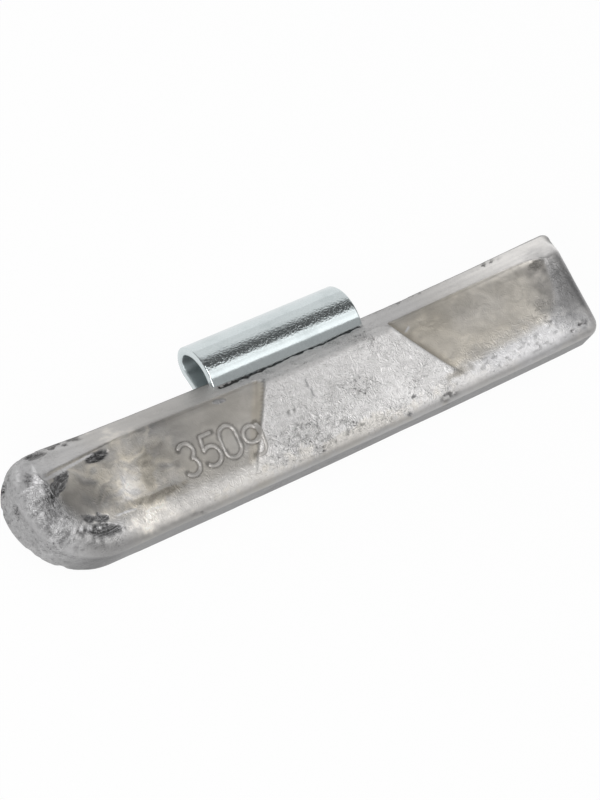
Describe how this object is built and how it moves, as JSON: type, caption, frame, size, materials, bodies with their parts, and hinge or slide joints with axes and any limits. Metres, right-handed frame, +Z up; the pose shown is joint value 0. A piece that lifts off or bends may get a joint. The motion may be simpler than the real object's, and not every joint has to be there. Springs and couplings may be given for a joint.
{
  "type": "wheel balance weight",
  "caption": "Curved bar of cast lead with a round nose, sunk fields in its face and a rolled spring-steel clip cast into its edge, which hooks over a truck wheel's rim.",
  "frame": {"origin": "middle of the box round the weight, on the surface it lies on", "axes": "+X along the bar from the round nose to the cut end, +Y across the bar towards the clip, +Z up out of the marked face"},
  "size_m": [0.129, 0.0314, 0.0185],
  "materials": {
    "lead": "as cast, dull grey with rubbed bright edges",
    "plated_spring_steel": "bright zinc plate"
  },
  "bodies": {
    "root": {"cast_weight": "lead", "spring_clip": "plated_spring_steel"}
  },
  "joints": []
}
